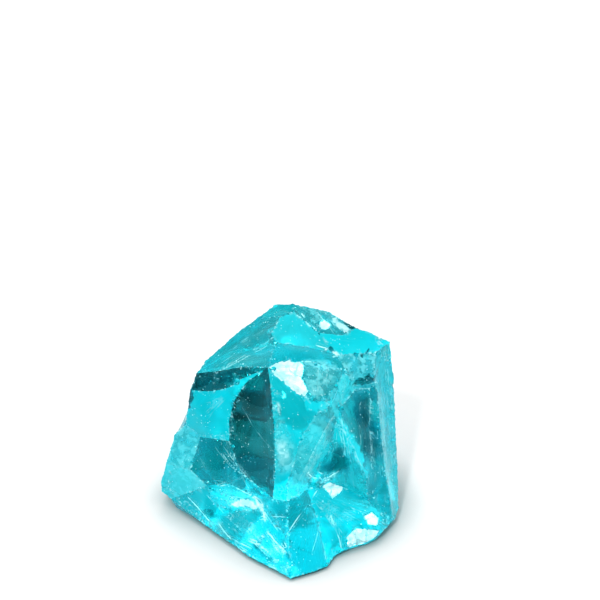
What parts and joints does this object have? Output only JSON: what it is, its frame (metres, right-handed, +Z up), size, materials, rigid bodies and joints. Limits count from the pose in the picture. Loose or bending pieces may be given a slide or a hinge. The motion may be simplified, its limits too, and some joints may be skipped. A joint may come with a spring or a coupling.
{
  "type": "rough aquamarine",
  "caption": "Broken chunk of clear blue-green gem rough with dished shell-like faces and chipped ridges, resting on a flat underside.",
  "frame": {"origin": "on the flat resting face, under the middle of the stone", "axes": "+X to the right and +Y to the back, as the picture shows the stone; +Z up"},
  "size_m": [0.0453, 0.0408, 0.0372],
  "materials": {
    "crystal": "clear, glossy fracture faces"
  },
  "bodies": {
    "root": {"aquamarine": "crystal"}
  },
  "joints": []
}
